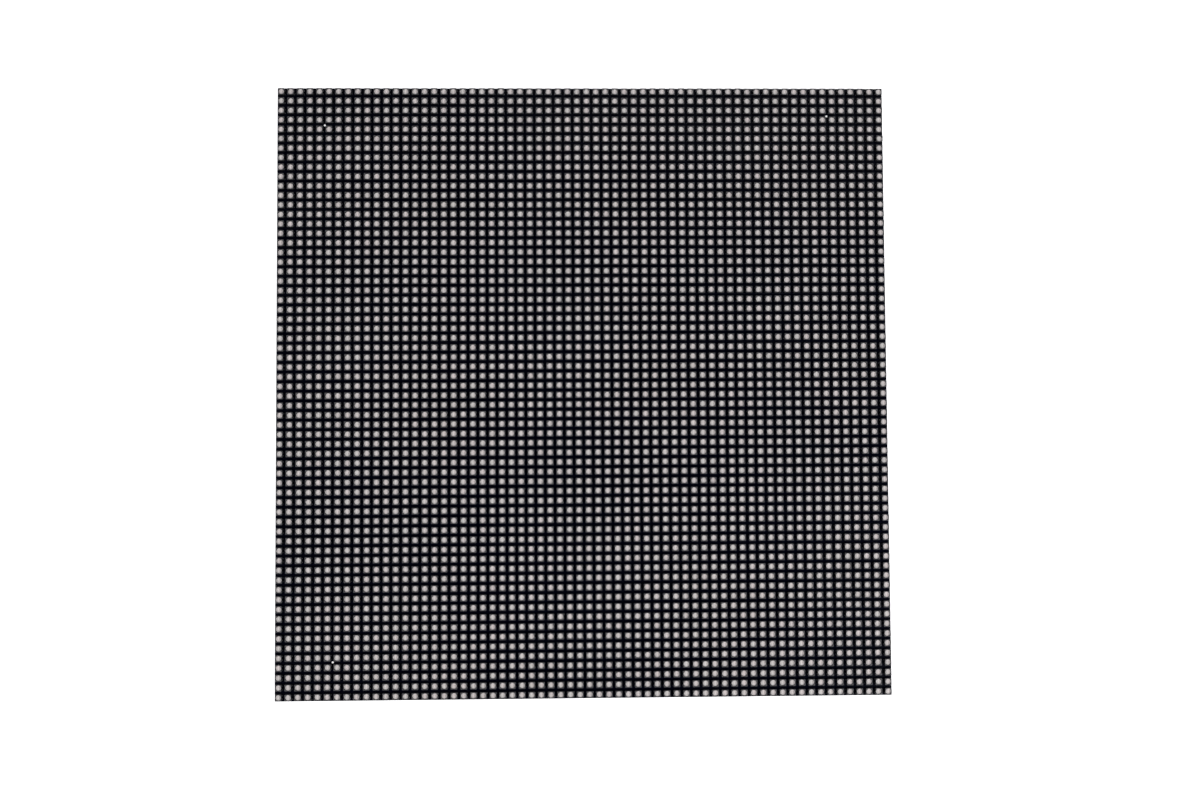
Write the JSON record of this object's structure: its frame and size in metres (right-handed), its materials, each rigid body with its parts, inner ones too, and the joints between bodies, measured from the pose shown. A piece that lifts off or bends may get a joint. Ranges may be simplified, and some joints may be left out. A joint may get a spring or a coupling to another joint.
{
  "type": "led dot matrix panel",
  "caption": "Square LED dot matrix panel: a grid of surface-mounted LEDs on a black board, over a ribbed rear frame with screw inserts, data headers and a power header.",
  "frame": {"origin": "centre of the panel, on the plane of the frame's rear rim", "axes": "+Z out of the LED side, +Y towards the top edge of the picture it shows, +X towards its right edge"},
  "size_m": [0.1916, 0.1916, 0.0149],
  "materials": {
    "solder_mask": "satin black solder mask",
    "bare_copper_marks": "tinned, fine matte",
    "led_package": "matte black face round a pale clear-filled cup",
    "frame_plastic": "fine spark-eroded texture",
    "insert_brass": "turned and knurled",
    "nut_tin": "tin plated, satin",
    "screw_steel": "zinc plated",
    "header_plastic": "moulded, fine grain",
    "pin_gold": "thin gold plate",
    "power_plastic": "natural nylon",
    "pin_tin": "tin plated, bright",
    "chip_epoxy": "moulded epoxy, fine matte",
    "can_aluminium": "drawn aluminium with a black end segment",
    "can_base_plastic": "moulded",
    "capacitor_ceramic": "fired ceramic with tinned ends",
    "resistor_black": "black glaze with tinned ends"
  },
  "bodies": {
    "root": {"circuit_board": "solder_mask", "fiducial_marks": "bare_copper_marks", "led_rows_1": "led_package", "led_rows_2": "led_package", "led_rows_3": "led_package", "led_rows_4": "led_package", "led_rows_5": "led_package", "led_rows_6": "led_package", "led_rows_7": "led_package", "led_rows_8": "led_package", "rear_frame": "frame_plastic", "mounting_inserts": "insert_brass", "board_nuts": "nut_tin", "frame_screws": "screw_steel", "data_in_shell": "header_plastic", "data_in_pins": "pin_gold", "data_out_shell": "header_plastic", "data_out_pins": "pin_gold", "power_shell": "power_plastic", "power_pins_set": "pin_tin", "driver_chips_red": "chip_epoxy", "driver_chips_green": "chip_epoxy", "driver_chips_blue": "chip_epoxy", "row_driver_chips": "chip_epoxy", "buffer_chips": "chip_epoxy", "capacitor_cans": "can_aluminium", "capacitor_bases": "can_base_plastic", "ceramic_capacitors": "capacitor_ceramic", "resistors": "resistor_black", "resistor_networks": "resistor_black"}
  },
  "joints": []
}
